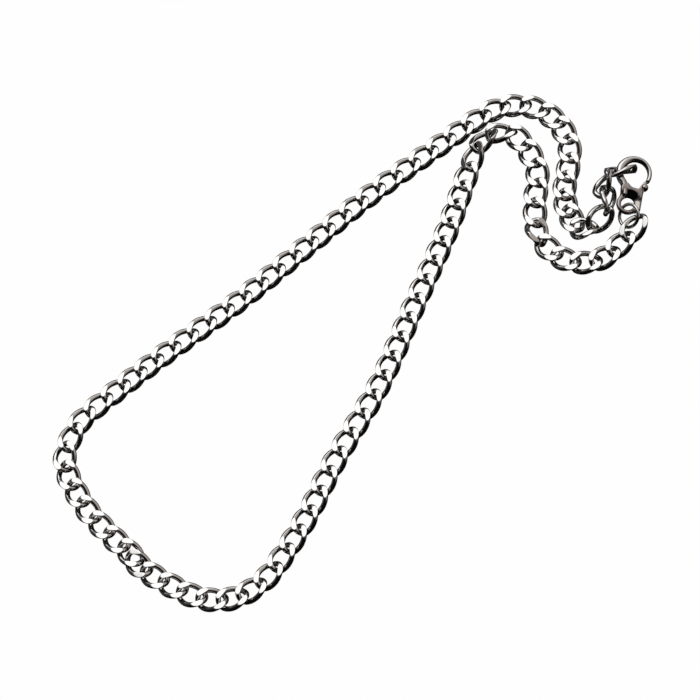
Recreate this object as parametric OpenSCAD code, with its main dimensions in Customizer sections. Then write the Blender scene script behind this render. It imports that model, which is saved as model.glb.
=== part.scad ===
// Curb chain necklace of polished steel with a lobster claw clasp, lying open on a table.
// Millimetres, Z up. The chain is a closed loop; the origin is under its middle.

/* [Chain] */
// Width of the chain, across the links
chain_w = 6; // [5:0.1:7.2]
// Thickness over the two ground faces of a link
chain_t = 2.2; // [1.8:0.1:2.7]
// Thickness of the wire that the links are bent from
wire_d = 1.3; // [1.05:0.05:1.6]
// Step from one link to the next along the chain
link_pitch = 5.25; // [4.4:0.05:6.3]
// Play between the ends of neighbouring links when the chain lies relaxed
link_play = 0.3; // [0.2:0.05:0.5]

/* [Joined lengths] */
// Thickness of the pin between two links, as a share of the wire
pin_share = 0.54; // [0.4:0.02:0.8]

/* [Jump ring] */
// Outer width of the round ring between the chain and the clasp
ring_d = 6.3; // [5.6:0.1:7.6]
// Thickness of its wire
ring_wire = 0.8; // [0.65:0.05:1]

/* [Clasp] */
// Length of the clasp from the top of the hook to the end of the eye
clasp_l = 15.2; // [14:0.1:18]
// Outer width of the hook
hook_w = 8.7; // [8:0.1:10.4]
// Thickness of the clasp
clasp_t = 2.2; // [1.9:0.1:2.7]
// Width of the band of the hook where it leaves the body
band_w = 1.75; // [1.45:0.05:2.1]
// Width of the hole in the eye
eye_hole = 3.1; // [2.6:0.1:3.4]
// Thickness of the lever between its two cheeks
lever_t = 0.9; // [0.7:0.05:1.1]

/* [Hidden] */
steel = [0.78, 0.78, 0.79];

// Half lengths of a link's centre line, along and across the chain
link_a = (link_pitch + wire_d + link_play) / 2;
link_b = (chain_w - wire_d) / 2;
// Where the four arcs of a link meet, and how far these corners are twisted up and down
corner_turn = 36;
corner_x = link_a * cos(corner_turn);
corner_y = link_b * sin(corner_turn);
corner_z = 0.477 * chain_t;
// Each arc stops this angle short of its corner, inside the wire of the next one
arc_gap = 1.2;

// Chosen points of the chain's route: link number, right, up. Links without a row of their own
// lie on a smooth curve between their neighbours.
route_pitch = 5.25;
ROUTE = [[1, 68.05, 27.75], [2, 64.75, 24], [3, 61, 20.75], [4, 56.5, 19.5], [5, 51.5, 20.5],
  [6, 47.4, 23.55], [7, 44.65, 27.65], [8, 44, 33], [9, 44.1, 38.35], [10, 44.25, 43.75],
  [11, 42.5, 48.75], [12, 39.5, 53], [13, 35.25, 54.7], [14, 31.25, 53.05], [15, 28.65, 48.9],
  [16, 26.95, 43.9], [19, 22.5, 29.5], [23, 15, 10], [27, 7.5, -9.5], [31, -2.5, -28.5],
  [34, -9, -43], [37, -17, -56.5], [38, -21, -60], [39, -25.5, -62], [40, -30.5, -62.25],
  [41, -35.5, -61], [43, -44.95, -56], [44, -49, -53], [45, -51.15, -50.25], [46, -55, -46.75],
  [48, -62.5, -39], [50, -68, -30], [51, -69.25, -25], [52, -68, -20], [53, -65.5, -15.5],
  [55, -57.5, -8.5], [58, -45.5, 1], [62, -28.5, 13.5], [66, -12.5, 27], [70, 3.5, 40.5],
  [74, 20.5, 53], [76, 29, 59], [77, 33.5, 61.5], [78, 38.5, 62.25], [79, 43.25, 61.25],
  [80, 47.5, 58.5], [81, 50.5, 54.5], [82, 52, 49.75], [83, 51.75, 44.75], [84, 51, 40],
  [85, 51.25, 35.25], [86, 52.85, 31.05], [87, 55.85, 27.8], [88, 59.8, 30.35], [89, 61.65, 34.65],
  [90, 61.05, 39.15], [91, 64.8, 42.2]];

// How the links lie that aren't flat: link number, roll, tilt, lift, turn
LAY = [[1, 0, -9, 0.55, -1], [5, 0, 0, 0.05, 0], [6, 0, 1, 0.15, 3], [7, 29, -9, 1, -8],
  [8, 9, 0, 0.55, 2], [9, 2, -3, 0.4, -6], [12, -1, 5, 0.35, -7], [13, 18, -1, 0.7, 0],
  [14, 23, -2, 0.8, -1], [15, 19, -8, 0.55, 6], [16, 3, 0, 0.15, 1], [43, 0, 0, 0, -1],
  [44, -4, 0, 0.2, -2], [45, 1, 1, 0.2, 0], [86, -1, 1, 0.05, -8], [87, -7, 20, 1.05, -13],
  [88, 22, 8, 1.1, -4], [89, 70, -5, 1.95, 5], [90, -44, 21, 2.05, -11], [91, -59, -12, 1.95, -27]];

// Jump ring: place of its middle, then roll, tilt and heading
RING_AT = [66.7, 30.8, 1.9, 0, 33, 29];

// Clasp: place of the middle of its hook, then roll, tilt and heading
CLASP_AT = [67.8, 41.75, 2.15, 1, -16, -3];

// Clasp sizes that follow from the ones above
hook_r = hook_w / 2;
hook_mid = hook_r - band_w / 2;
tip_turn = -33;
root_turn = 236;
bore_shift = 0.11 * band_w;
bore_r = hook_r - band_w + bore_shift;
eye_wire = 0.52 * clasp_t;
eye_r = (eye_hole + eye_wire) / 2;
eye_at = [-0.115 * hook_w, hook_r + eye_r + eye_wire / 2 - clasp_l];
// Outline of the body, as shares of the hook's width and the clasp's length
BODY = [[-0.333, -0.205], [-0.15, -0.171], [-0.04, -0.26], [0.27, -0.28], [0.299, -0.3], [0.247, -0.63],
  [0.1, -0.69], [-0.115, -0.55], [-0.38, -0.52], [-0.33, -0.36]];
dome_at = [0.02 * hook_w, -0.45 * clasp_l];
dome_r = 0.66 * clasp_l;
// The lever turns on a rivet between the two cheeks of the body
pin_d = 0.9;
pin_play = 0.05;
pin_at = [0.167 * hook_w, -0.388 * clasp_l];
boss_r = 0.11 * hook_w;
slot_r = boss_r + 3 * pin_play;
arm_w = 0.085 * hook_w;
lever_reach = 0.46 * hook_w;
lever_end = [0.345 * hook_w, -0.125 * clasp_l];
knob_at = [0.315 * hook_w, -0.235 * clasp_l];
knob_r = 0.069 * hook_w;

function row_of(i, k = 0) = k >= len(ROUTE) - 2 || ROUTE[k + 1][0] > i ? k : row_of(i, k + 1);
function xy(k) = [ROUTE[k][1], ROUTE[k][2]];
function slope(k) =
  let (p = max(k - 1, 0), q = min(k + 1, len(ROUTE) - 1))
  (xy(q) - xy(p)) / (ROUTE[q][0] - ROUTE[p][0]);
// Middle of link i: a smooth curve through the chosen points, drawn out with the pitch
function place(i) =
  let (k = row_of(i), h = ROUTE[k + 1][0] - ROUTE[k][0], u = (i - ROUTE[k][0]) / h)
  ((2 * u * u * u - 3 * u * u + 1) * xy(k) + (u * u * u - 2 * u * u + u) * h * slope(k)
  + (3 * u * u - 2 * u * u * u) * xy(k + 1) + (u * u * u - u * u) * h * slope(k + 1))
  * link_pitch / route_pitch;
function heading(i) =
  let (d = place(min(i + 1, ROUTE[len(ROUTE) - 1][0])) - place(max(i - 1, 1)))
  atan2(d[1], d[0]);
function lay_of(i) =
  let (f = [for (r = LAY) if (r[0] == i) r])
  len(f) > 0 ? f[0] : [i, 0, 0, 0, 0];

// One arc of wire through the point mid, bulging away from the link's middle. Its ends lie half the
// given width to either side and the given sag further in.
module arc_wire(mid, side, half, sag) {
  r = (half * half + sag * sag) / (2 * sag);
  ang = 2 * asin(half / r) - 2 * arc_gap;
  n = mid / norm(mid);
  t = side / norm(side);
  z = cross(n, t);
  c = mid - r * n;
  multmatrix([
    [n[0], t[0], z[0], c[0]],
    [n[1], t[1], z[1], c[1]],
    [n[2], t[2], z[2], c[2]],
    [0, 0, 0, 1]
  ])
    rotate([0, 0, -ang / 2])
      rotate_extrude(angle = ang, $fn = 48)
        translate([r, 0])
          circle(d = wire_d, $fn = 24);
}

// A curb link: two end arcs and two side arcs, twisted so that neighbours pass through each other,
// then ground flat above and below.
module link() {
  intersection() {
    for (s = [1, -1]) {
      arc_wire([s * link_a, 0, 0], [0, corner_y, -s * corner_z],
        norm([corner_y, corner_z]), link_a - corner_x);
      arc_wire([0, s * link_b, 0], [corner_x, 0, -s * corner_z],
        norm([corner_x, corner_z]), link_b - corner_y);
    }
    cube([3 * link_pitch, 3 * chain_w, chain_t], center = true);
  }
}

module placed_link(i) {
  p = place(i);
  lay = lay_of(i);
  translate([p[0], p[1], chain_t / 2 + lay[3]])
    rotate([0, 0, heading(i) + lay[4]])
      rotate([0, -lay[2], 0])
        rotate([lay[1], 0, 0])
          link();
}

// Links from one number to another, each joined to the next by a pin between their ends
module chain_run(first, last) {
  for (i = [first : last])
    placed_link(i);
  for (i = [first : last - 1]) {
    p = place(i);
    q = place(i + 1);
    translate([(p[0] + q[0]) / 2, (p[1] + q[1]) / 2, chain_t / 2])
      rotate([0, 0, atan2(q[1] - p[1], q[0] - p[0])])
        rotate([0, 90, 0])
          cylinder(d = pin_share * wire_d, h = link_play + 0.92 * wire_d, center = true, $fn = 24);
  }
}

module jump_ring()
  color(steel)
    translate([RING_AT[0], RING_AT[1], RING_AT[2]])
      rotate([0, 0, RING_AT[5]])
        rotate([0, -RING_AT[4], 0])
          rotate([RING_AT[3], 0, 0])
            rotate_extrude($fn = 48)
              translate([(ring_d - ring_wire) / 2, 0])
                circle(d = ring_wire, $fn = 24);

module placed_clasp()
  translate([CLASP_AT[0], CLASP_AT[1], CLASP_AT[2]])
    rotate([0, 0, CLASP_AT[5]])
      rotate([0, -CLASP_AT[4], 0])
        rotate([CLASP_AT[3], 0, 0])
          children();

module slab(points, h)
  linear_extrude(height = h, center = true)
    polygon(points);

// The hook: a band with rounded edges, narrowing towards its tip
module hook() {
  difference() {
    intersection() {
      rotate_extrude($fn = 48)
        translate([hook_mid, 0])
          circle(r = 0.545 * clasp_t, $fn = 24);
      cylinder(r = hook_r, h = clasp_t, center = true, $fn = 48);
    }
    translate([bore_shift * cos(20), -bore_shift * sin(20), 0])
      cylinder(r = bore_r, h = 2 * clasp_t, center = true, $fn = 48);
    slab([[0, 0], hook_w * [cos(root_turn), sin(root_turn)], hook_w * [0, -1],
      hook_w * [cos(tip_turn), sin(tip_turn)]], 2 * clasp_t);
  }
}

// The body: a domed plate between hook and eye, and the eye's ring, with a slot for the lever
module plate() {
  difference() {
    union() {
      intersection() {
        union() {
          slab([for (p = BODY) [p[0] * hook_w, p[1] * clasp_l]], clasp_t);
          translate([eye_at[0], eye_at[1], 0])
            cylinder(r = eye_r + 0.3 * eye_wire, h = clasp_t, center = true, $fn = 48);
        }
        translate([dome_at[0], dome_at[1], clasp_t / 2 - dome_r])
          sphere(r = dome_r, $fn = 64);
        translate([dome_at[0], dome_at[1], dome_r - clasp_t / 2])
          sphere(r = dome_r, $fn = 64);
      }
      translate([eye_at[0], eye_at[1], 0])
        rotate_extrude($fn = 48)
          translate([eye_r, 0])
            circle(d = eye_wire, $fn = 24);
    }
    translate([eye_at[0], eye_at[1], 0])
      cylinder(d = eye_hole, h = 2 * clasp_t, center = true, $fn = 48);
    slab([
      [0, -0.15 * clasp_l],
      [0.6 * hook_w, -0.15 * clasp_l],
      [0.6 * hook_w, pin_at[1]],
      pin_at + [slot_r, -slot_r],
      pin_at + [-slot_r, -slot_r],
      [-0.03 * hook_w, -0.33 * clasp_l]
    ], lever_t + 2 * pin_play);
  }
}

module clasp_body()
  color(steel)
    placed_clasp() {
      hook();
      plate();
      translate([pin_at[0], pin_at[1], 0])
        cylinder(d = pin_d, h = clasp_t - 2 * pin_play, center = true, $fn = 24);
    }

module clasp_lever()
  color(steel)
    placed_clasp()
      difference() {
        union() {
          translate([pin_at[0], pin_at[1], 0])
            cylinder(r = boss_r, h = lever_t, center = true, $fn = 24);
          intersection() {
            slab([
              pin_at + arm_w * [-1, 0.4],
              pin_at + arm_w * [1, -0.4],
              lever_end + arm_w * [0.6, 0.4],
              lever_end + arm_w * [-0.74, 0.8]
            ], lever_t);
            translate([pin_at[0], pin_at[1], 0])
              cylinder(r = lever_reach, h = clasp_t, center = true, $fn = 48);
          }
          translate([knob_at[0], knob_at[1], 0])
            cylinder(r = knob_r, h = 0.75 * clasp_t, center = true, $fn = 24);
        }
        translate([pin_at[0], pin_at[1], 0])
          cylinder(d = pin_d + 2 * pin_play, h = 2 * clasp_t, center = true, $fn = 24);
      }

// The links of the bends and of the clasp, one by one
module link_01() color(steel) placed_link(1);
module link_02() color(steel) placed_link(2);
module link_03() color(steel) placed_link(3);
module link_04() color(steel) placed_link(4);
module link_05() color(steel) placed_link(5);
module link_06() color(steel) placed_link(6);
module link_07() color(steel) placed_link(7);
module link_08() color(steel) placed_link(8);
module link_09() color(steel) placed_link(9);
module link_10() color(steel) placed_link(10);
module link_11() color(steel) placed_link(11);
module link_12() color(steel) placed_link(12);
module link_13() color(steel) placed_link(13);
module link_14() color(steel) placed_link(14);
module link_15() color(steel) placed_link(15);
module link_43() color(steel) placed_link(43);
module link_44() color(steel) placed_link(44);
module link_45() color(steel) placed_link(45);
module link_46() color(steel) placed_link(46);
module link_47() color(steel) placed_link(47);
module link_48() color(steel) placed_link(48);
module link_49() color(steel) placed_link(49);
module link_50() color(steel) placed_link(50);
module link_51() color(steel) placed_link(51);
module link_52() color(steel) placed_link(52);
module link_77() color(steel) placed_link(77);
module link_78() color(steel) placed_link(78);
module link_79() color(steel) placed_link(79);
module link_80() color(steel) placed_link(80);
module link_81() color(steel) placed_link(81);
module link_82() color(steel) placed_link(82);
module link_83() color(steel) placed_link(83);
module link_84() color(steel) placed_link(84);
module link_85() color(steel) placed_link(85);
module link_86() color(steel) placed_link(86);
module link_87() color(steel) placed_link(87);
module link_88() color(steel) placed_link(88);
module link_89() color(steel) placed_link(89);
module link_90() color(steel) placed_link(90);
module link_91() color(steel) placed_link(91);

// The two straight strands, each joined along the chain in a few lengths
module chain_run_a() color(steel) chain_run(16, 23);
module chain_run_b() color(steel) chain_run(24, 30);
module chain_run_c() color(steel) chain_run(31, 37);
module chain_run_d() color(steel) chain_run(38, 42);
module chain_run_e() color(steel) chain_run(53, 60);
module chain_run_f() color(steel) chain_run(61, 68);
module chain_run_g() color(steel) chain_run(69, 76);

link_01();
link_02();
link_03();
link_04();
link_05();
link_06();
link_07();
link_08();
link_09();
link_10();
link_11();
link_12();
link_13();
link_14();
link_15();
link_43();
link_44();
link_45();
link_46();
link_47();
link_48();
link_49();
link_50();
link_51();
link_52();
link_77();
link_78();
link_79();
link_80();
link_81();
link_82();
link_83();
link_84();
link_85();
link_86();
link_87();
link_88();
link_89();
link_90();
link_91();
chain_run_a();
chain_run_b();
chain_run_c();
chain_run_d();
chain_run_e();
chain_run_f();
chain_run_g();
jump_ring();
clasp_body();
clasp_lever();
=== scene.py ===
import math

import bmesh
import bpy
import numpy as np
from mathutils import Matrix, Vector


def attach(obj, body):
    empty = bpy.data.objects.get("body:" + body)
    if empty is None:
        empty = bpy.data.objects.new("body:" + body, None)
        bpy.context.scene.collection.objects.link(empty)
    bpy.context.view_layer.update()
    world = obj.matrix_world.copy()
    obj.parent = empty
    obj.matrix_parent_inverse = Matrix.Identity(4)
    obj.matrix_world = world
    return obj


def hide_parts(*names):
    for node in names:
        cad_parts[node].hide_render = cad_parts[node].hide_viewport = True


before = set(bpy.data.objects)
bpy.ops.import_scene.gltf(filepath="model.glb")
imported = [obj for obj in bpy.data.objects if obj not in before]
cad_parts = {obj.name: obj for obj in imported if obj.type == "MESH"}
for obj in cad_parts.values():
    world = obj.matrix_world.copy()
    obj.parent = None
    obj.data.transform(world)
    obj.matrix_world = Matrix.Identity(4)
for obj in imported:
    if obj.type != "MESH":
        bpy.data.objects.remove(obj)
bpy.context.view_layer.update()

# ---------------------------------------------------------------------------
# The curb links
# Stainless steel wire wound into oval links, each twisted so that it lies flat in the next one,
# then the whole chain ground flat above and below and tumble-polished, which leaves mirror faces
# with slightly rounded edges. The links are loose in one another.

MM = 0.001  # every size is in millimetres, and Blender's are in metres
LINKS = 91
CHAIN_W, CHAIN_T, WIRE_D = 6.0, 2.2, 1.3
PITCH, PLAY = 5.25, 0.3
LINK_A = (PITCH + WIRE_D + PLAY) / 2  # half lengths of a link's centre line, along and across
LINK_B = (CHAIN_W - WIRE_D) / 2
CORNER_TURN, CORNER_RISE = math.radians(36), 0.477 * CHAIN_T
CORNER = (LINK_A * math.cos(CORNER_TURN), LINK_B * math.sin(CORNER_TURN), CORNER_RISE)
EDGE = 0.03  # softness of the edges of the ground faces
LEAST_FLAT = math.radians(14)  # half width of the narrowest face, as an angle round the wire

# The chain's route by link number, millimetres right and up; links in between follow the curve.
ROUTE = [
    (1, 68.05, 27.75), (2, 64.75, 24), (3, 61, 20.75), (4, 56.5, 19.5), (5, 51.5, 20.5),
    (6, 47.4, 23.55), (7, 44.65, 27.65), (8, 44, 33), (9, 44.1, 38.35), (10, 44.25, 43.75),
    (11, 42.5, 48.75), (12, 39.5, 53), (13, 35.25, 54.7), (14, 31.25, 53.05), (15, 28.65, 48.9),
    (16, 26.95, 43.9), (19, 22.5, 29.5), (23, 15, 10), (27, 7.5, -9.5), (31, -2.5, -28.5),
    (34, -9, -43), (37, -17, -56.5), (38, -21, -60), (39, -25.5, -62), (40, -30.5, -62.25),
    (41, -35.5, -61), (43, -44.95, -56), (44, -49, -53), (45, -51.15, -50.25), (46, -55, -46.75),
    (48, -62.5, -39), (50, -68, -30), (51, -69.25, -25), (52, -68, -20), (53, -65.5, -15.5),
    (55, -57.5, -8.5), (58, -45.5, 1), (62, -28.5, 13.5), (66, -12.5, 27), (70, 3.5, 40.5),
    (74, 20.5, 53), (76, 29, 59), (77, 33.5, 61.5), (78, 38.5, 62.25), (79, 43.25, 61.25),
    (80, 47.5, 58.5), (81, 50.5, 54.5), (82, 52, 49.75), (83, 51.75, 44.75), (84, 51, 40),
    (85, 51.25, 35.25), (86, 52.85, 31.05), (87, 55.85, 27.8), (88, 59.8, 30.35),
    (89, 61.65, 34.65), (90, 61.05, 39.15), (91, 64.8, 42.2),
]
# Links that don't lie flat: link number, roll, tilt, lift, turn
LAY = {
    1: (0, -9, 0.55, -1), 5: (0, 0, 0.05, 0), 6: (0, 1, 0.15, 3), 7: (29, -9, 1, -8),
    8: (9, 0, 0.55, 2), 9: (2, -3, 0.4, -6), 12: (-1, 5, 0.35, -7), 13: (18, -1, 0.7, 0),
    14: (23, -2, 0.8, -1), 15: (19, -8, 0.55, 6), 16: (3, 0, 0.15, 1), 43: (0, 0, 0, -1),
    44: (-4, 0, 0.2, -2), 45: (1, 1, 0.2, 0), 86: (-1, 1, 0.05, -8), 87: (-7, 20, 1.05, -13),
    88: (22, 8, 1.1, -4), 89: (70, -5, 1.95, 5), 90: (-44, 21, 2.05, -11),
    91: (-59, -12, 1.95, -27),
}
# Lengths of chain that are one solid each: letter, first and last link
RUNS = {
    "a": (16, 23), "b": (24, 30), "c": (31, 37), "d": (38, 42), "e": (53, 60), "f": (61, 68),
    "g": (69, 76),
}


def turned(heading, tilt=0.0, roll=0.0):
    """Turn about Z by heading, after raising the nose by tilt, after rolling about X."""
    return (
        Matrix.Rotation(math.radians(heading), 3, "Z")
        @ Matrix.Rotation(math.radians(-tilt), 3, "Y")
        @ Matrix.Rotation(math.radians(roll), 3, "X")
    )


def link_middles():
    """Middle of every link: the cubic through the chosen points whose slope at each point is that
    between its two neighbours, taken at the link's number."""
    rows = np.array(ROUTE, float)
    number, xy = rows[:, 0], rows[:, 1:]
    at = np.arange(len(number))
    before, after = np.maximum(at - 1, 0), np.minimum(at + 1, len(at) - 1)
    slope = (xy[after] - xy[before]) / (number[after] - number[before])[:, None]
    i = np.arange(1, LINKS + 1)
    k = np.clip(np.searchsorted(number, i, side="right") - 1, 0, len(at) - 2)
    h = (number[k + 1] - number[k])[:, None]
    u = ((i - number[k]) / h[:, 0])[:, None]
    return (
        (2 * u**3 - 3 * u**2 + 1) * xy[k] + (u**3 - 2 * u**2 + u) * h * slope[k]
        + (3 * u**2 - 2 * u**3) * xy[k + 1] + (u**3 - u**2) * h * slope[k + 1]
    )


def bow(middle, reach, sag, count=120):
    """A flat circular arc through its middle, whose ends lie a reach to either side and a sag
    back."""
    middle, reach = np.array(middle), np.array(reach)
    half = np.linalg.norm(reach)
    r = (half**2 + sag**2) / (2 * sag)
    u = np.linspace(-1, 1, count)[:, None] * math.asin(half / r)
    out = middle / np.linalg.norm(middle)
    return middle + r * (np.cos(u) - 1) * out + r * np.sin(u) * reach / half


def length_along(line):
    """Length of a line from its start to each of its points."""
    return np.concatenate([[0], np.cumsum(np.linalg.norm(np.diff(line, axis=0), axis=1))])


def smoothed(values, share):
    """Values round a closed curve, each averaged with its neighbours under a bell curve whose half
    width is that share of the whole."""
    n = len(values)
    away = np.minimum(np.arange(n), n - np.arange(n))
    bell = np.exp(-0.5 * (away / (share * n)) ** 2).reshape(n, *[1] * (values.ndim - 1))
    spread = np.fft.fft(bell / bell.sum(), axis=0)
    return np.real(np.fft.ifft(np.fft.fft(values, axis=0) * spread, axis=0))


def link_line(count, finer=8):
    """Centre line of a link: two end bows and two side bows, each twisted the other way, which
    meet at four corners; spaced evenly along its length and softened where the bows meet."""
    x, y, z = CORNER
    line = np.concatenate([
        bow((LINK_A, 0, 0), (0, y, -z), LINK_A - x)[:-1],
        bow((0, LINK_B, 0), (-x, 0, z), LINK_B - y)[:-1],
        bow((-LINK_A, 0, 0), (0, -y, -z), LINK_A - x)[:-1],
        bow((0, -LINK_B, 0), (x, 0, z), LINK_B - y),
    ])
    length = length_along(line)
    at = np.linspace(0, length[-1], finer * count, endpoint=False)
    line = np.stack([np.interp(at, length, line[:, k]) for k in range(3)], axis=1)
    return smoothed(line, 0.012)[::finer]


def tube_faces(rings, around, closed=True):
    """Quads of a grid of rings by points around; closed joins the last ring to the first."""
    i = np.arange(rings if closed else rings - 1)[:, None]
    j = np.arange(around)[None, :]
    i2, j2 = (i + 1) % rings, (j + 1) % around
    corners = [i * around + j, i2 * around + j, i2 * around + j2, i * around + j2]
    return np.stack(corners, axis=-1).reshape(-1, 4)


def link_surface(rings=80):
    """One link about the origin: around its centre line runs the wire's circle, its top and bottom
    pressed softly onto the two ground planes. Rows are set close together where the circle meets
    a plane."""
    line = link_line(rings)
    along = np.roll(line, -1, axis=0) - np.roll(line, 1, axis=0)
    along /= np.linalg.norm(along, axis=1)[:, None]
    side = np.cross(along, [0, 0, 1.0])
    side /= np.linalg.norm(side, axis=1)[:, None]
    up = np.cross(side, along)
    r = WIRE_D / 2
    top = ((CHAIN_T / 2 - line[:, 2]) / up[:, 2])[:, None]
    bottom = ((CHAIN_T / 2 + line[:, 2]) / up[:, 2])[:, None]
    a = np.maximum(np.arccos(np.clip(top / r, -1, 1)), LEAST_FLAT)
    b = np.maximum(np.arccos(np.clip(bottom / r, -1, 1)), LEAST_FLAT)
    flat = np.array([-1, -0.93, -0.8, -0.4, 0, 0.4, 0.8, 0.93, 1])  # rows over a ground face
    rim = np.array([0.04, 0.12, 0.3, 0.5, 0.7, 0.88, 0.96])  # rows from one face to the other
    far = np.pi - a - b
    angle = np.concatenate(
        [a * flat, a + far * rim, np.pi + b * flat, np.pi + b + far * rim], axis=1
    )
    x, y = r * np.sin(angle), r * np.cos(angle)
    y = top - EDGE * np.logaddexp(0, (top - y) / EDGE)
    y = EDGE * np.logaddexp(0, (y + bottom) / EDGE) - bottom
    points = line[:, None] + x[..., None] * side[:, None] + y[..., None] * up[:, None]
    return points.reshape(-1, 3), tube_faces(rings, angle.shape[1])[:, ::-1]


def link_pose(i, middles):
    """Turn and place of link i: it points from the link before it to the link after it."""
    before, after = middles[max(i - 2, 0)], middles[min(i, LINKS - 1)]
    heading = math.degrees(math.atan2(*(after - before)[::-1]))
    roll, tilt, lift, turn = LAY.get(i, (0, 0, 0, 0))
    place = np.array([*middles[i - 1], CHAIN_T / 2 + lift])
    return np.array(turned(heading + turn, tilt, roll)), place


def make_piece(name, points, faces, material, slot, *nodes, body="necklace"):
    """A mesh object from points in millimetres, smooth, riding on its body in place of its nodes.
    The points that meet at a pole are merged, which closes the surface there."""
    mesh = bpy.data.meshes.new(name)
    points = np.asarray(points, np.float32) * MM
    faces = np.asarray(faces, np.int32)
    starts = np.arange(0, faces.size, faces.shape[1], dtype=np.int32)
    mesh.vertices.add(len(points))
    mesh.vertices.foreach_set("co", points.ravel())
    mesh.loops.add(faces.size)
    mesh.loops.foreach_set("vertex_index", faces.ravel())
    mesh.polygons.add(len(faces))
    mesh.polygons.foreach_set("loop_start", starts)
    mesh.update(calc_edges=True)
    shell = bmesh.new()
    shell.from_mesh(mesh)
    bmesh.ops.remove_doubles(shell, verts=shell.verts, dist=1e-7)
    shell.to_mesh(mesh)
    shell.free()
    mesh.validate()
    mesh.polygons.foreach_set("use_smooth", np.ones(len(mesh.polygons), bool))
    mesh.materials.append(material)
    piece = bpy.data.objects.new(name, mesh)
    bpy.context.scene.collection.objects.link(piece)
    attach(piece, body)
    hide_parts(*nodes)
    return piece


def linear(hex_colour):
    """sRGB hex to linear RGBA."""
    c = np.array([int(hex_colour[k : k + 2], 16) / 255 for k in (1, 3, 5)])
    c = np.where(c <= 0.04045, c / 12.92, ((c + 0.055) / 1.055) ** 2.4)
    return (*c.tolist(), 1.0)


def add_node(tree, kind, settings=None, links=None):
    """Adds a node, sets its properties and sockets, and links sockets given as (node, output)."""
    node = tree.nodes.new(kind)
    for key, value in (settings or {}).items():
        if isinstance(key, str) and hasattr(node, key):
            setattr(node, key, value)
        else:
            node.inputs[key].default_value = value
    for key, (source, output) in (links or {}).items():
        tree.links.new(source.outputs[output], node.inputs[key])
    return node


BRIGHT_STEEL = "#D2D0CE"
CLOUDS, MARKS = 260.0, 2600.0  # per metre: cloudy patches of 4 mm and fine marks of 0.4 mm


def polished_steel(name, tint, roughness):
    """Polished stainless steel is a neutral mirror. Tumbling leaves it finer in some patches than
    in others, so its reflections are sharp here and a little soft there. The marks of the tumbling
    media are finer than can be seen; they are drawn at 0.4 mm, so faintly that they only break up
    the reflections."""
    material = bpy.data.materials.new(name)
    material.use_nodes = True
    tree = material.node_tree
    tree.nodes.clear()
    place = add_node(tree, "ShaderNodeTexCoord")
    cloud = add_node(
        tree, "ShaderNodeTexNoise", {"Scale": CLOUDS, "Detail": 3.0}, {"Vector": (place, "Object")}
    )
    rough = add_node(
        tree, "ShaderNodeMapRange",
        {"From Min": 0.35, "From Max": 0.7, "To Min": roughness * 0.7, "To Max": roughness * 1.6},
        {"Value": (cloud, "Fac")},
    )
    fine = add_node(
        tree, "ShaderNodeTexNoise", {"Scale": MARKS, "Detail": 2.0}, {"Vector": (place, "Object")}
    )
    bump = add_node(
        tree, "ShaderNodeBump", {"Strength": 0.03, "Distance": 0.02 * MM}, {"Height": (fine, "Fac")}
    )
    shade = add_node(
        tree, "ShaderNodeBsdfPrincipled",
        {"Base Color": linear(tint), "Metallic": 1.0},
        {"Roughness": (rough, "Result"), "Normal": (bump, "Normal")},
    )
    add_node(tree, "ShaderNodeOutputMaterial", None, {"Surface": (shade, "BSDF")})
    return material


chain_steel = polished_steel("Tumble-polished stainless steel of the links", BRIGHT_STEEL, 0.05)
middles = link_middles()
link_points, link_faces = link_surface()


def links_mesh(first, last):
    """The surfaces of links first to last in their places, as one list of points and faces."""
    poses = [link_pose(i, middles) for i in range(first, last + 1)]
    points = np.concatenate([link_points @ turn.T + place for turn, place in poses])
    faces = np.concatenate([link_faces + k * len(link_points) for k in range(len(poses))])
    return points, faces


in_runs = {i for first, last in RUNS.values() for i in range(first, last + 1)}
for i in range(1, LINKS + 1):
    if i not in in_runs:
        make_piece(f"curb_link_{i:02d}", *links_mesh(i, i), chain_steel, "chain", f"link_{i:02d}")
for letter, (first, last) in RUNS.items():
    name, node = f"curb_links_{first}_to_{last}", f"chain_run_{letter}"
    make_piece(name, *links_mesh(first, last), chain_steel, "chain", node)

# ---------------------------------------------------------------------------
# The jump ring
# A ring of round polished steel wire, bent closed by hand. It joins the first link to the eye of
# the clasp and hangs loose in both.

RING_D, RING_WIRE = 6.3, 0.8
RING_AT, RING_TURN = (66.7, 30.8, 1.9), turned(29, 33)


def ring_surface(radius, wire, rings=72, around=20):
    """A circle of wire about Z: the usual ring surface of two angles."""
    u = np.linspace(0, 2 * np.pi, rings, endpoint=False)[:, None]
    v = np.linspace(0, 2 * np.pi, around, endpoint=False)[None, :]
    out = radius + wire / 2 * np.cos(v)
    points = np.stack([out * np.cos(u), out * np.sin(u), wire / 2 * np.sin(v) + 0 * u], axis=-1)
    return points.reshape(-1, 3), tube_faces(rings, around)


points, faces = ring_surface((RING_D - RING_WIRE) / 2, RING_WIRE)
points = points @ np.array(RING_TURN).T + RING_AT
make_piece("polished_jump_ring", points, faces, chain_steel, "ring", "jump_ring")

# ---------------------------------------------------------------------------
# The clasp
# A lobster claw clasp: a cast steel body, polished all over, that ends in an eye below and runs out
# into a hook above. A lever on a rivet in the body, pushed by a hidden spring, closes the hook.

HOOK_W, CLASP_L, CLASP_T, BAND_W, EYE_HOLE = 8.7, 15.2, 2.2, 1.75, 3.1
CLASP_AT, CLASP_TURN = (67.8, 41.75, 2.15), turned(-3, -16, 1)
HOOK_R = HOOK_W / 2
EYE_R, EYE_WIRE = EYE_HOLE / 2, 0.52 * CLASP_T
EYE_AT = np.array([-0.115 * HOOK_W, HOOK_R + EYE_R + EYE_WIRE - CLASP_L])
PIN_AT, PIN_R, PIN_HALF = np.array([0.167 * HOOK_W, -0.388 * CLASP_L]), 0.42, 1.12
KNOB_AT, KNOB_R, KNOB_HALF = (2.85, -3.45), 0.85, 1.0
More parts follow.
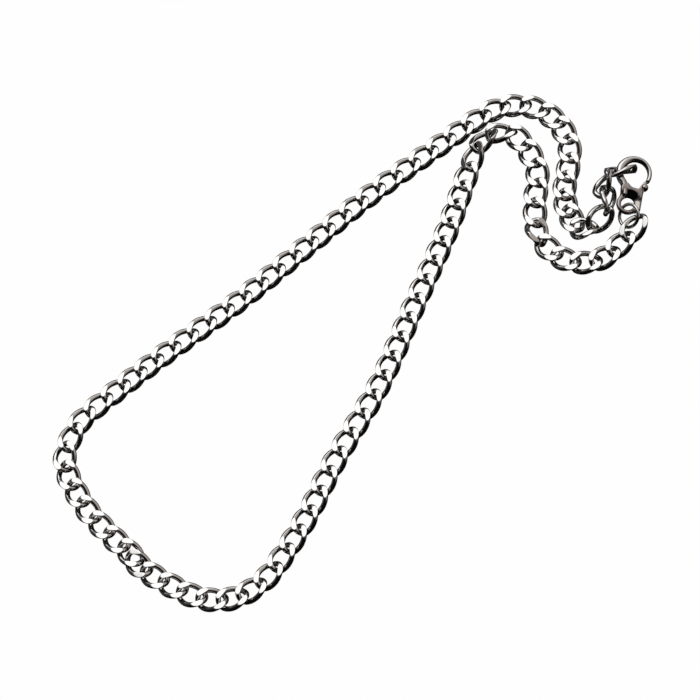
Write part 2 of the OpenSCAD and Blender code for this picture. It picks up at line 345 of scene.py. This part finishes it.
# Width of the hook's band: degrees round the hook from its tip, share of BAND_W
BAND = np.array(
    [(-36, 0.55), (0, 0.6), (60, 0.64), (95, 0.78), (130, 1.0), (170, 1.1), (222, 0.98)]
)
# Thickness of the band: millimetres from its tip, share of CLASP_T
BAND_T = np.array([(0, 0.74), (4, 0.86), (18, 0.98)])
BAND_POWER = 0.85  # how square its section is: 1 is round
TIP_ROUND, ROOT_ROUND = 0.75, 0.6  # lengths over which the band's two ends are rounded
TAIL_END, TAIL_W = np.array([-1.95, -6.4]), 1.3  # where the band ends inside the body
# Corners of the body: share of HOOK_W to the right, share of CLASP_L up
BODY = [
    (-0.333, -0.205), (-0.15, -0.171), (-0.04, -0.245), (0.12, -0.262), (0.27, -0.262),
    (0.299, -0.3), (0.247, -0.63), (0.1, -0.69), (-0.115, -0.55), (-0.38, -0.52), (-0.33, -0.36),
]
SLOPE, BEND, RIM = 1.95, 0.1, 0.55  # widths of the slope from the eye, its end and the edge
DOME_TOP, DOME_FALL, DOME_AT = 0.98, 0.012, 4  # share of CLASP_T, its fall, distance from the eye
BLEND = 1.2  # growth of the body past the eye's wire that turns the wire's section to the body's
# Discs along the lever from the rivet to the hook's tip: right, up, radius
LEVER = np.array([[*PIN_AT, 0.95], [1.9, -4.6, 0.75], [2.5, -3.2, 0.62], [2.9, -2.25, 0.42]])
LEVER_MIDDLE, LEVER_T, LEVER_RIM = np.array([2.1, -4.0]), 0.9, 0.2  # the rim is a share


def rounded(angle, power):
    """A circle pressed towards a square: cosine and sine raised to a power below one."""
    c, s = np.cos(angle), np.sin(angle)
    return np.sign(c) * np.abs(c) ** power, np.sign(s) * np.abs(s) ** power


def quarter_round(share):
    """Height of a quarter circle, from 0 at share 0 to 1 at share 1 and beyond it."""
    return np.sqrt(1 - (1 - np.clip(share, 0, 1)) ** 2)


def hook_surface(steps=90, around=28):
    """A band along a plane curve: round the hook from its tip, then down into the body. Its
    section is a flattened round, slender on the free side and broad where the hook springs from
    the body; both ends close on a quarter circle."""
    turn = np.radians(np.linspace(BAND[0, 0], BAND[-1, 0], 120))
    band = BAND_W * np.interp(turn, np.radians(BAND[:, 0]), BAND[:, 1])
    middle = HOOK_R - band / 2
    arc = np.stack([middle * np.cos(turn), middle * np.sin(turn)], axis=1)
    fall = np.linspace(0, 1, 40)[1:, None]
    a, d = arc[-1], TAIL_END
    b, c = a + [0.75, -0.85], d + [0.25, 1.3]  # handles of the cubic from the root into the body
    tail = (
        a * (1 - fall) ** 3 + 3 * b * fall * (1 - fall) ** 2
        + 3 * c * fall**2 * (1 - fall) + d * fall**3
    )
    line = np.concatenate([arc, tail])
    width = np.concatenate([band, np.linspace(band[-1], TAIL_W, len(tail))])
    length = length_along(line)
    at = (1 - np.cos(np.linspace(0, np.pi, steps))) / 2 * length[-1]
    line = np.stack([np.interp(at, length, line[:, k]) for k in (0, 1)], axis=1)
    width = np.interp(at, length, width)
    along = np.gradient(line, axis=0)
    along /= np.linalg.norm(along, axis=1)[:, None]
    side = np.stack([along[:, 1], -along[:, 0]], axis=1)
    ends = quarter_round(at / TIP_ROUND) * quarter_round((length[-1] - at) / ROOT_ROUND)
    height = CLASP_T * np.interp(at, BAND_T[:, 0], BAND_T[:, 1])
    x, z = rounded(np.linspace(0, 2 * np.pi, around, endpoint=False), BAND_POWER)
    across = (width / 2 * ends)[:, None] * x
    points = np.empty((steps, around, 3))
    points[..., :2] = line[:, None] + across[..., None] * side[:, None]
    points[..., 2] = (height / 2 * ends)[:, None] * z
    return points.reshape(-1, 3), tube_faces(steps, around, closed=False)


def body_outline(angles):
    """Distance from the eye's middle to the body's edge in each direction: where a ray meets the
    straight-sided outline or the eye's rim, whichever is further, with the corners smoothed."""
    corners = np.array(BODY) * [HOOK_W, CLASP_L] - EYE_AT
    p, q = corners[None], np.roll(corners, -1, axis=0)[None]
    ray = np.stack([np.cos(angles), np.sin(angles)], axis=1)[:, None]
    edge = q - p
    bottom = ray[..., 0] * edge[..., 1] - ray[..., 1] * edge[..., 0]
    far = (p[..., 0] * edge[..., 1] - p[..., 1] * edge[..., 0]) / bottom
    share = (p[..., 0] * ray[..., 1] - p[..., 1] * ray[..., 0]) / bottom
    reach = np.where((share >= 0) & (share <= 1) & (far > 0), far, 0).max(axis=1)
    return smoothed(np.maximum(reach, EYE_R + EYE_WIRE), 0.008)


def body_surface(around=180):
    """The body and its eye as one ring about the eye's middle: in every direction a closed section
    runs from the eye's hole over the top to the outer edge and back below. Round the free side of
    the eye it is a round wire; towards the body it slopes evenly up to the domed thickness of the
    body, and its outer edge is a quarter circle."""
    off_sides = 0.005  # turns the rays so that none runs along a side of the outline
    angle = np.linspace(0, 2 * np.pi, around, endpoint=False) + off_sides
    outer = body_outline(angle)[:, None]
    step = np.array([
        0, 0.01, 0.03, 0.07, 0.12, 0.17, 0.22, 0.27, 0.32, 0.38, 0.44,
        0.5, 0.57, 0.65, 0.73, 0.8, 0.87, 0.93, 0.97, 0.99, 1.0,
    ])
    out = EYE_R + (outer - EYE_R) * step
    d = out - EYE_R
    in_body = np.clip((outer - EYE_R - EYE_WIRE) / BLEND, 0, 1)
    wire = EYE_WIRE / 2 * quarter_round(d / (EYE_WIRE / 2))
    dome = CLASP_T / 2 * (DOME_TOP - DOME_FALL * (out - DOME_AT) ** 2)
    slope = SLOPE - BEND * np.logaddexp(0, (SLOPE - d) / BEND)
    height = wire * (1 - in_body) + dome * np.clip(slope / SLOPE, 0, 1) * in_body
    height = height * quarter_round((outer - out) / np.minimum(RIM, 0.5 * (outer - EYE_R)))
    x, y = EYE_AT[0] + out * np.cos(angle)[:, None], EYE_AT[1] + out * np.sin(angle)[:, None]
    top = np.stack([x, y, height], axis=-1)
    under = np.stack([x, y, -height], axis=-1)[:, -2:0:-1]
    points = np.concatenate([top, under], axis=1)
    return points.reshape(-1, 3), tube_faces(around, points.shape[1])[:, ::-1]


def lever_surface(around=96):
    """A flat plate with rounded rims: the outline is the smooth outer edge of a row of discs from
    the rivet to the hook's tip, cast as distances from the plate's middle."""
    angle = np.linspace(0, 2 * np.pi, around, endpoint=False)
    ray = np.stack([np.cos(angle), np.sin(angle)], axis=1)
    steps = np.linspace(0, 1, 60)[:, None]
    discs = np.concatenate([p * (1 - steps) + q * steps for p, q in zip(LEVER, LEVER[1:])])
    place, radius = discs[:, :2] - LEVER_MIDDLE, discs[:, 2]
    forward = ray @ place.T
    aside = np.abs(ray[:, :1] * place[:, 1] - ray[:, 1:] * place[:, 0])
    edge = forward + np.sqrt(np.maximum(radius**2 - aside**2, 0))
    reach = np.where(aside < radius, edge, 0).max(axis=1)
    share = np.array([0, 0.35, 0.7, 0.86, 0.94, 0.985, 1.0])
    height = LEVER_T / 2 * quarter_round((1 - share) / LEVER_RIM)
    share = np.append(share, share[-2::-1])[:, None]
    height = np.append(-height, height[-2::-1])[:, None]
    xy = LEVER_MIDDLE + (reach * share)[..., None] * ray
    z = np.broadcast_to(height, xy.shape[:2])[..., None]
    points = np.concatenate([xy, z], axis=-1)
    return points.reshape(-1, 3), tube_faces(len(share), around, closed=False)[:, ::-1]


def button_surface(middle, radius, half_height, power=0.7, steps=24, around=40):
    """A round button: a half circle pressed towards a square, turned about its upright axis."""
    out, up = rounded(np.linspace(-np.pi / 2, np.pi / 2, steps), power)
    turn = np.linspace(0, 2 * np.pi, around, endpoint=False)
    x = middle[0] + radius * out[:, None] * np.cos(turn)
    y = middle[1] + radius * out[:, None] * np.sin(turn)
    points = np.stack([x, y, np.broadcast_to(half_height * up[:, None], x.shape)], axis=-1)
    return points.reshape(-1, 3), tube_faces(steps, around, closed=False)[:, ::-1]


def joined(*parts):
    """Several closed surfaces as one list of points and faces."""
    starts = np.cumsum([0] + [len(points) for points, _ in parts])
    faces = [faces + start for (_, faces), start in zip(parts, starts)]
    return np.concatenate([points for points, _ in parts]), np.concatenate(faces)


# Cast steel is polished by hand on a buff, which leaves it a little softer than the tumbled links.
# Painted shade: the body of the clasp is tinted browner and darker than the bright hook, standing
# in for the darker reflections that the body shows, so the tint changes along the clasp, between
# two places below the hook's middle.
PAINTED_SHADE_STEEL = "#A29B97"
BRIGHT_TO, PAINTED_SHADE_FROM = 1.5, 4.0
clasp_steel = polished_steel("Cast and polished stainless steel of the clasp", PAINTED_SHADE_STEEL, 0.06)
clasp_turn = np.array(CLASP_TURN).T
upward = clasp_turn[1]
hook_middle = float(upward @ np.array(CLASP_AT)) * MM
tree = clasp_steel.node_tree
place = add_node(tree, "ShaderNodeTexCoord")
along = add_node(
    tree, "ShaderNodeVectorMath",
    {"operation": "DOT_PRODUCT", 1: tuple(upward)}, {0: (place, "Object")},
)
painted_shade_amount = add_node(
    tree, "ShaderNodeMapRange",
    {"From Min": hook_middle - BRIGHT_TO * MM, "From Max": hook_middle - PAINTED_SHADE_FROM * MM,
     "To Min": 0.0, "To Max": 1.0},
    {"Value": (along, "Value")},
)
# painted shade: the tint runs from the bright steel of the hook to the darker tint of the body
tint = add_node(tree, "ShaderNodeMix", {"data_type": "RGBA"}, {"Factor": (painted_shade_amount, "Result")})
tint.inputs[6].default_value = linear(BRIGHT_STEEL)
tint.inputs[7].default_value = linear(PAINTED_SHADE_STEEL)
tree.links.new(tint.outputs[2], tree.nodes["Principled BSDF"].inputs["Base Color"])

rivet = button_surface(PIN_AT, PIN_R, PIN_HALF, 0.8)
points, faces = joined(hook_surface(), body_surface(), rivet)
points = points @ clasp_turn + CLASP_AT
make_piece("polished_clasp_body", points, faces, clasp_steel, "clasp", "clasp_body")

knob = button_surface(KNOB_AT, KNOB_R, KNOB_HALF)
points, faces = joined(lever_surface(), knob)
points = points @ clasp_turn + CLASP_AT
make_piece(
    "polished_clasp_lever", points, faces, clasp_steel, "clasp", "clasp_lever", body="lever"
)

# ---------------------------------------------------------------------------
# The table
# A light table of white opal glass, lit from within, so that nothing on it throws a shadow. The
# polished wire is dark where it turns down to the table, so its reflections leave the table out.

TABLE_HALF = 1.6  # metres
table_mesh = bpy.data.meshes.new("table")
table_corners = TABLE_HALF * np.array([(-1, -1, 0), (1, -1, 0), (1, 1, 0), (-1, 1, 0)])
table_mesh.from_pydata(table_corners.tolist(), [], [(0, 1, 2, 3)])
table = bpy.data.objects.new("table", table_mesh)
bpy.context.scene.collection.objects.link(table)
opal = bpy.data.materials.new("Lit white opal glass of the light table")
opal.use_nodes = True
opal.node_tree.nodes.clear()
shade = add_node(
    opal.node_tree, "ShaderNodeBsdfPrincipled",
    {"Base Color": (0, 0, 0, 1), "Roughness": 0.6, "Specular IOR Level": 0.0,
     "Emission Color": linear("#FEFEFE"), "Emission Strength": 1.0},
)
add_node(opal.node_tree, "ShaderNodeOutputMaterial", None, {"Surface": (shade, "BSDF")})
table_mesh.materials.append(opal)
table.visible_glossy = False

# ---------------------------------------------------------------------------
# The light
# A dark studio with a wide round soft light hung above the chain and drawn back from the camera,
# and a long strip light across the far side. The flat faces of the steel mirror the round one, the
# round wire draws the strip out to thin streaks, and what leans to the camera's side stays dark.

world = bpy.data.worlds.new("studio")
bpy.context.scene.world = world
world.use_nodes = True
tree = world.node_tree
tree.nodes.clear()
place = add_node(tree, "ShaderNodeTexCoord")


def soft_light(lean, way, low, high, dark, bright):
    """Strength that rises smoothly from dark to bright as a direction nears the one that leans from
    upright by lean degrees towards way; low and high are the cosines at which it starts and
    ends."""
    lean, way = math.radians(lean), math.radians(way)
    middle = (math.sin(lean) * math.cos(way), math.sin(lean) * math.sin(way), math.cos(lean))
    near = add_node(
        tree, "ShaderNodeVectorMath",
        {"operation": "DOT_PRODUCT", 1: middle}, {0: (place, "Generated")},
    )
    return add_node(
        tree, "ShaderNodeMapRange",
        {"interpolation_type": "SMOOTHSTEP", "From Min": low, "From Max": high,
         "To Min": dark, "To Max": bright},
        {"Value": (near, "Value")},
    )


round_light = soft_light(29.5, 107, 0.895, 0.975, 0.0, 1.4)
round_glow = soft_light(28.5, 108, 0.75, 0.95, 0.0, 0.3)  # light spilt round it
back_wall = soft_light(82, 145, 0.3, 0.85, 0.002, 0.05)

# The strip light is the part of a wide soft light that lies near one height over the table.
STRIP_HEIGHT, STRIP_EDGE, STRIP_CORE = 0.45, 0.1, 0.05  # as sines
strip_span = soft_light(62, 100, 0.81, 0.9, 0.0, 1.7)
height = add_node(
    tree, "ShaderNodeVectorMath",
    {"operation": "DOT_PRODUCT", 1: (0, 0, 1)}, {0: (place, "Generated")},
)
off = add_node(
    tree, "ShaderNodeMath", {"operation": "SUBTRACT", 1: STRIP_HEIGHT}, {0: (height, "Value")}
)
off = add_node(tree, "ShaderNodeMath", {"operation": "ABSOLUTE"}, {0: (off, "Value")})
band = add_node(
    tree, "ShaderNodeMapRange",
    {"interpolation_type": "SMOOTHSTEP", "From Min": STRIP_EDGE, "From Max": STRIP_CORE,
     "To Min": 0.0, "To Max": 1.0},
    {"Value": (off, "Value")},
)
strip_light = add_node(
    tree, "ShaderNodeMath",
    {"operation": "MULTIPLY"}, {0: (strip_span, "Result"), 1: (band, "Result")},
)

sky = round_light
for part in (round_glow, back_wall, strip_light):
    sky = add_node(tree, "ShaderNodeMath", {"operation": "ADD"}, {0: (sky, 0), 1: (part, 0)})
lights = add_node(
    tree, "ShaderNodeBackground", {"Color": (1, 1, 1, 1)}, {"Strength": (sky, "Value")}
)
# The room to the right is warm and grey.
room_glow = soft_light(60, 35, 0.45, 0.95, 0.002, 0.52)
room = add_node(
    tree, "ShaderNodeBackground", {"Color": linear("#FFF6F0")}, {"Strength": (room_glow, "Result")}
)
studio = add_node(
    tree, "ShaderNodeAddShader", None, {0: (lights, "Background"), 1: (room, "Background")}
)
add_node(tree, "ShaderNodeOutputWorld", None, {"Surface": (studio, "Shader")})

# ---------------------------------------------------------------------------
# The camera
# Above the table at 64 degrees and 0.8 m away behind a long lens, rolled so that the loop runs
# across the picture as photographed.

TARGET = Vector((-0.0001, -0.0004, 0.0011))
RISE, ROLL = math.radians(64.25), math.radians(-60.9)
DISTANCE, LENS, SENSOR = 0.7916, 170.4, 36
away = Vector((math.cos(RISE) * math.cos(ROLL), math.cos(RISE) * math.sin(ROLL), math.sin(RISE)))
down = Vector((math.sin(RISE) * math.cos(ROLL), math.sin(RISE) * math.sin(ROLL), -math.cos(RISE)))
level = Vector((-math.sin(ROLL), math.cos(ROLL), 0))
right = math.cos(ROLL) * down - math.sin(ROLL) * level
up = math.sin(ROLL) * down + math.cos(ROLL) * level
camera_data = bpy.data.cameras.new("camera")
camera_data.sensor_width = SENSOR
camera_data.lens = LENS
camera = bpy.data.objects.new("camera", camera_data)
bpy.context.scene.collection.objects.link(camera)
axes = Matrix((right, up, away)).transposed()
camera.matrix_world = Matrix.Translation(TARGET + DISTANCE * away) @ axes.to_4x4()
bpy.context.scene.camera = camera
bpy.context.scene.view_settings.view_transform = "Standard"
